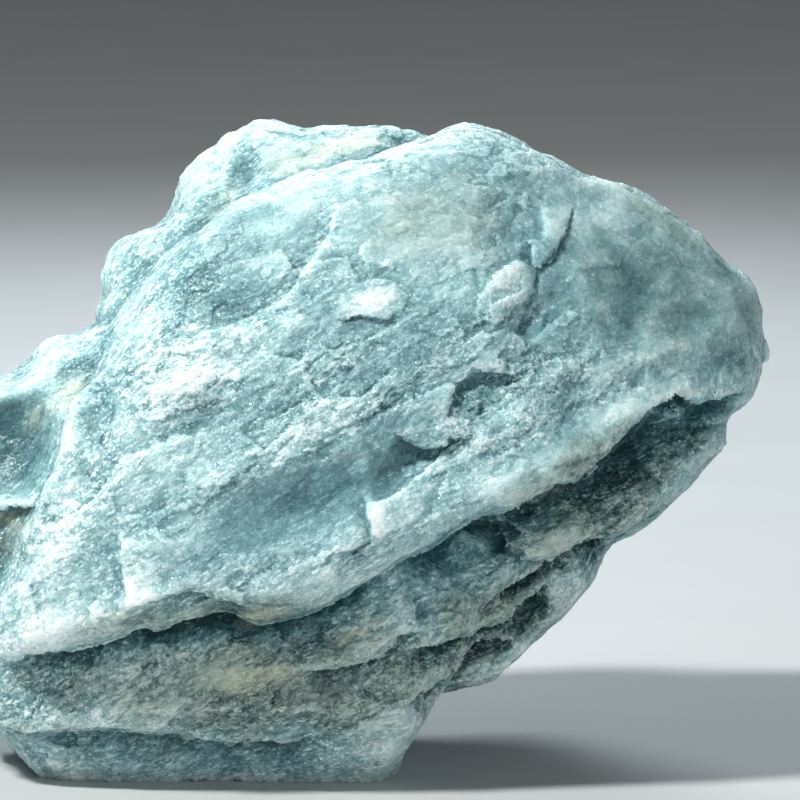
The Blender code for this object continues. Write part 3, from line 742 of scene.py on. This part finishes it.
def beryl(name, paler, tilts, roughness, glow, glow_depth):
    """Milky aquamarine: teal deep inside, whiter where grains scatter light, with painted edge highlights
    and painted shade.

    The two tilts say how far the crystals lean where the break is smooth and where it is hackly.
    """
    deep_teal = (0.040, 0.130, 0.150, 1)
    blue_grey = (0.185, 0.345, 0.375, 1)
    ice = (0.450, 0.620, 0.640, 1)
    white = (0.860, 0.930, 0.930, 1)
    sage = (0.390, 0.480, 0.415, 1)
    cream = (0.680, 0.700, 0.520, 1)
    rust = (0.300, 0.210, 0.120, 1)
    shadow = (0.015, 0.040, 0.045, 1)
    finish = Finish(name)
    here = finish.node("ShaderNodeTexCoord", dict(), gives="Object")
    in_mm = finish.vector("SCALE", here, 1 / MM)
    grain = finish.node(
        "ShaderNodeMapping", dict(vector_type="TEXTURE"),
        Vector=in_mm, Rotation=(0.0, -GRAIN_SLOPE, 0.0), Scale=(GRAIN_STRETCH, 1, 1),
    )
    hackle, crack, recess, fine_edge, broad_edge, teal, frost, sagy, creamy, rusty = (
        finish.node("ShaderNodeAttribute", dict(attribute_name=name), gives="Fac")
        for name in (
            "hackle", "crack", "recess", "fine_edge", "broad_edge", "teal", "frost", "sage", "cream", "rust"
        )
    )
    cloud = finish.noise(in_mm, scale=0.07, detail=3.0, roughness=0.6)
    streak = finish.noise(grain, scale=0.5, detail=6.0, roughness=0.72)
    grit = finish.noise(in_mm, scale=2.4, detail=3.0, roughness=0.75)
    grain_cell = finish.node(
        "ShaderNodeTexVoronoi", dict(), gives="Color", Vector=grain, Scale=GRAINS_PER_MM
    )
    small_cell = finish.node(
        "ShaderNodeTexVoronoi", dict(), gives="Color", Vector=in_mm, Scale=SMALL_GRAINS_PER_MM
    )
    grain_shade = finish.node("ShaderNodeSeparateColor", dict(), Color=grain_cell)
    small_shade = finish.node("ShaderNodeSeparateColor", dict(), Color=small_cell)

    mottle = 0.9 * cloud + 0.45 * streak + 0.25 * grit
    # White grains, and painted glints, over the hackly break.
    white_grains_and_glints = grain_shade**FEW_BRIGHT_POWER + small_shade**FEW_BRIGHT_POWER - 0.4
    speckle = (0.15 + 0.36 * hackle) * white_grains_and_glints
    # Painted highlight: edges that stand out are painted paler.
    edges = 0.18 * broad_edge + 0.14 * fine_edge
    # The last term is painted shade under the lips and ledges.
    paleness = 0.45 + paler + mottle + speckle + edges + 0.42 * frost - 0.26 * teal - 0.32 * recess
    stops = ((0.0, deep_teal), (0.36, blue_grey), (0.66, ice), (1.0, white))
    base = finish.node("ShaderNodeValToRGB", dict(stops=stops), Fac=paleness)
    base = finish.mixed(sagy * 0.8, base, finish.mixed(finish.within(paleness, 0.1, 0.9), shadow, sage))
    base = finish.mixed(creamy * finish.within(streak, -0.10, 0.10) * 0.75, base, cream)
    base = finish.mixed(rusty * finish.within(grit, -0.08, 0.12) * 0.7, base, rust)
    # Painted shade along the open cracks.
    base = finish.mixed(crack * 0.55, base, shadow)

    normal = finish.node("ShaderNodeNewGeometry", dict(), gives="Normal")
    spread = tilts[0] + (tilts[1] - tilts[0]) * hackle
    for cell in (grain_cell, small_cell):
        tilt = finish.vector("SUBTRACT", cell, (0.5, 0.5, 0.5))
        normal = finish.vector("ADD", normal, finish.vector("SCALE", tilt, spread))
    normal = finish.node("ShaderNodeVectorMath", dict(operation="NORMALIZE"), Vector=normal)
    relief = finish.node(
        "ShaderNodeBump", dict(),
        Height=streak + grit, Strength=BUMP_STRENGTH, Distance=BUMP_DISTANCE, Normal=normal,
    )
    glint = finish.within(small_shade, 0.55, 0.65) * (0.35 + 0.65 * hackle)
    finish.set(Base_Color=base, Roughness=roughness - GLINT_SMOOTHER * glint, Normal=relief)
    finish.set(IOR=BERYL_IOR, Specular_Tint=SPECULAR_TINT)
    finish.set(Subsurface_Weight=glow, Subsurface_Radius=GLOW_COLOUR_REACH, Subsurface_Scale=glow_depth)
    return finish.material


stone_mesh.materials.clear()
stone_mesh.materials.append(
    beryl("milky_beryl", paler=0.0, tilts=(0.20, 0.95), roughness=0.44, glow=0.85, glow_depth=0.0034)
)
stone_mesh.shade_flat()
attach(stone, "root")
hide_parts("aquamarine")

# The sugary grain. Where the break is hackly, frosted or edged, small angular cleavage chips and grains
# of the same beryl stand a little out of the skin. They are grown in, and the chips lie along the cleavage.

# Sizes are in mm, and each seed keeps its piece the same in every run.
CHIPS = dict(
    cleavage_chips=dict(
        per_square_mm=5.0, smallest=0.35, largest=1.2, toward_cleavage=0.7, loose=0.35, seed=3
    ),
    sugar_grains=dict(
        per_square_mm=9.0, smallest=0.30, largest=0.70, toward_cleavage=0.3, loose=0.8, seed=8
    ),
)
CHIP_SHAPES = 5
FEWEST_SIDES = 4
CHIP_KNOCK = 0.16
CHIP_SUNK = 0.25
CHIP_PROPORTIONS = ((0.75, 0.40, 0.20), (1.00, 0.85, 0.50))
SMALL_CHIPS_POWER = 3.0

# How thickly they cover the skin: a little everywhere, more on hackly stone, on the frost tint with its
# painted highlight and on fine edges, less on the teal tint with its painted shade, and none where the skin
# faces a narrow end or lies near the table.
COVER_EVERYWHERE = 0.02
HACKLE_COVER = (0.4, 2.5)
FROST_AND_HIGHLIGHT_COVER = (0.5, 2)
EDGE_COVER = 0.1
TEAL_AND_SHADE_BARE = 0.6
CHIPS_FACING = (0.1, 0.4)
FOOT_CLEAR = 1.2


class Pattern(Graph):
    """A Geometry Nodes tree with named inputs."""

    def __init__(self, name, **kinds):
        super().__init__(bpy.data.node_groups.new(name, "GeometryNodeTree"))
        for title, kind in kinds.items():
            self.tree.interface.new_socket(title, in_out="INPUT", socket_type="NodeSocket" + kind)
        self.tree.interface.new_socket("Result", in_out="OUTPUT", socket_type="NodeSocketGeometry")
        self.inputs = self.tree.nodes.new("NodeGroupInput")

    def given(self, title):
        """One of the tree's own inputs."""
        return Wire(self, self.inputs.outputs[title])

    def ends_in(self, wire):
        """Makes this the tree's result."""
        self.tree.links.new(wire.socket, self.tree.nodes.new("NodeGroupOutput").inputs[0])

    def drawn(self, kind, low, high, seed):
        """A random number or vector for each chip, always the same for the same seed."""
        return self.node("FunctionNodeRandomValue", dict(data_type=kind), Min=low, Max=high, Seed=seed)


def chip_pattern():
    """Sets angular chips into a surface, thickest where its grain_cover attribute says."""
    pattern = Pattern(
        "grown_in_chips", Surface="Geometry", Chips_per_area="Float", Smallest="Float", Largest="Float",
        Cleavage_way="Vector", Toward_cleavage="Float", Loose="Float", Seed="Int", Finish="Material",
    )
    given = pattern.given
    cover = pattern.node("GeometryNodeInputNamedAttribute", dict(data_type="FLOAT"), Name="grain_cover")
    spots = pattern.node(
        "GeometryNodeDistributePointsOnFaces", dict(distribute_method="RANDOM"),
        Mesh=given("Surface"), Density=cover * given("Chips_per_area"), Seed=given("Seed"),
    )
    shapes = []
    for shape in range(CHIP_SHAPES):
        sides = FEWEST_SIDES + shape % 2
        body = pattern.node("GeometryNodeMeshUVSphere", dict(), Segments=sides, Rings=2, Radius=0.5)
        knock = pattern.drawn("FLOAT_VECTOR", (-CHIP_KNOCK,) * 3, (CHIP_KNOCK,) * 3, shape)
        shapes.append(pattern.node("GeometryNodeSetPosition", dict(), Geometry=body, Offset=knock))
    bodies = pattern.node("GeometryNodeGeometryToInstance", dict(), Geometry=shapes)

    outwards = pattern.vector("SCALE", spots.also("Normal"), 1.0 - given("Toward_cleavage"))
    cleaved = pattern.vector("SCALE", given("Cleavage_way"), given("Toward_cleavage"))
    strayed = pattern.vector("SCALE", pattern.drawn("FLOAT_VECTOR", (-1,) * 3, (1,) * 3, 11), given("Loose"))
    up_way = pattern.vector("ADD", pattern.vector("ADD", outwards, cleaved), strayed)
    turn = pattern.node("FunctionNodeAlignRotationToVector", dict(axis="Z"), Vector=up_way)
    spin = pattern.node(
        "FunctionNodeAxisAngleToRotation", dict(),
        Axis=(0, 0, 1), Angle=pattern.drawn("FLOAT", 0.0, math.tau, 12),
    )
    turn = pattern.node(
        "FunctionNodeRotateRotation", dict(rotation_space="LOCAL"), Rotation=turn, Rotate_By=spin
    )
    span = given("Largest") - given("Smallest")
    size = given("Smallest") + span * pattern.drawn("FLOAT", 0.0, 1.0, 13) ** SMALL_CHIPS_POWER
    stretch = pattern.drawn("FLOAT_VECTOR", *CHIP_PROPORTIONS, 14)
    sinking = pattern.vector("SCALE", spots.also("Normal"), size * -CHIP_SUNK)
    spots = pattern.node("GeometryNodeSetPosition", dict(), Geometry=spots, Offset=sinking)
    chips = pattern.node(
        "GeometryNodeInstanceOnPoints", dict(), Points=spots, Instance=bodies, Pick_Instance=True,
        Instance_Index=pattern.drawn("INT", 0, CHIP_SHAPES - 1, 15), Rotation=turn,
        Scale=pattern.vector("SCALE", stretch, size),
    )
    real = pattern.node("GeometryNodeRealizeInstances", dict(), Geometry=chips)
    pattern.ends_in(pattern.node("GeometryNodeSetMaterial", dict(), Geometry=real, Material=given("Finish")))
    return pattern.tree


def grain_cover():
    """How thickly chips and grains cover each point of the skin, from 0 to 1."""
    cover = COVER_EVERYWHERE
    for layer, (most, power) in dict(hackle=HACKLE_COVER, frost=FROST_AND_HIGHLIGHT_COVER).items():
        cover = cover + most * paint[layer] ** power
    cover += EDGE_COVER * np.clip(paint["fine_edge"], 0, 1)
    cover *= broadside_share(facing, *CHIPS_FACING)
    cover *= 1 - TEAL_AND_SHADE_BARE * paint["teal"]
    cover[places[:, 2] < FOOT_CLEAR * MM] = 0
    return np.clip(cover, 0, 1)


painted(stone_mesh, "grain_cover", grain_cover())
grain_finish = beryl(
    "frosted_grain", paler=0.02, tilts=(0.05, 0.15), roughness=0.32, glow=0.0, glow_depth=0.001
)
chip_tree = chip_pattern()
for name, chips in CHIPS.items():
    piece = linked(name, stone_mesh.copy())
    grown_in = piece.modifiers.new("grown_in", "NODES")
    grown_in.node_group = chip_tree
    values = dict(
        Chips_per_area=chips["per_square_mm"] / MM**2,
        Smallest=chips["smallest"] * MM,
        Largest=chips["largest"] * MM,
        Cleavage_way=tuple(cleavage_way()),
        Toward_cleavage=chips["toward_cleavage"],
        Loose=chips["loose"],
        Seed=chips["seed"],
        Finish=grain_finish,
    )
    for socket in chip_tree.interface.items_tree:
        if socket.name in values:
            grown_in[socket.identifier] = values[socket.name]
    chip_mesh = applied(piece)
    piece = linked(name, chip_mesh)
    chip_mesh.shade_flat()
    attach(piece, "root")

# The table is a plain pale sheet, far larger than the stone, that the stone's flat foot stands on.
TABLE_HALF_WIDTH = 3.0
TABLE_DROP = 0.00002
bpy.ops.mesh.primitive_plane_add(size=2 * TABLE_HALF_WIDTH, location=(0, 0, -TABLE_DROP))
table = bpy.context.object
table.name = "table"


def pale_board():
    """Matt pale grey board with a faint mottle."""
    darker = (0.42, 0.43, 0.44, 1)
    paler = (0.47, 0.48, 0.49, 1)
    finish = Finish("pale_board")
    here = finish.node("ShaderNodeTexCoord", dict(), gives="Object")
    mottle = finish.noise(here, scale=30.0, detail=2.0, roughness=0.5)
    finish.set(Base_Color=finish.mixed(mottle + 0.5, darker, paler), Roughness=0.8)
    return finish.material


table.data.materials.append(pale_board())

# Soft studio light: a key from high on the left, a rim light from behind, a weaker, wide fill from the
# right, and a pale sky. Each lamp has its place, width, power and colour, and they all aim at one place.
LIT_MIDDLE = (0, 0, 0.035)
SKY_COLOUR = (0.84, 0.88, 0.89, 1)
SKY_STRENGTH = 0.20
LIGHTS = dict(
    key=((-0.30, -0.18, 0.48), 0.06, 5.0, (0.98, 1.0, 0.97)),
    rim=((-0.04, 0.40, 0.36), 0.24, 1.8, (0.84, 0.95, 1.0)),
    fill=((0.35, -0.75, 0.15), 0.60, 2.6, (0.92, 0.98, 0.98)),
)
for name, (place, size, power, colour) in LIGHTS.items():
    lamp = bpy.data.lights.new(name, "AREA")
    lamp.size, lamp.energy, lamp.color = size, power, colour
    lamp_object = bpy.data.objects.new(name, lamp)
    lamp_object.location = place
    aim = Vector(LIT_MIDDLE) - Vector(place)
    lamp_object.rotation_euler = aim.to_track_quat("-Z", "Y").to_euler()
    lamp_object.visible_camera = False
    bpy.context.scene.collection.objects.link(lamp_object)
world = bpy.data.worlds.new("pale_sky")
world.use_nodes = True
sky = world.node_tree.nodes["Background"]
sky.inputs["Color"].default_value = SKY_COLOUR
sky.inputs["Strength"].default_value = SKY_STRENGTH
bpy.context.scene.world = world
bpy.context.scene.view_settings.view_transform = "Standard"

# The camera stands where the photograph's did: square to the broad front, a little above its middle. The
# width that it takes in there is in mm.
VIEW_WIDTH = 88.0
camera_data = bpy.data.cameras.new("camera")
camera_data.lens = camera_data.sensor_width * VIEWER_AWAY / VIEW_WIDTH
camera = bpy.data.objects.new("camera", camera_data)
camera.location = FRONT_MIDDLE + TOWARDS * VIEWER_AWAY * MM
camera.rotation_euler = Vector(-TOWARDS).to_track_quat("-Z", "Y").to_euler()
bpy.context.scene.collection.objects.link(camera)
bpy.context.scene.camera = camera
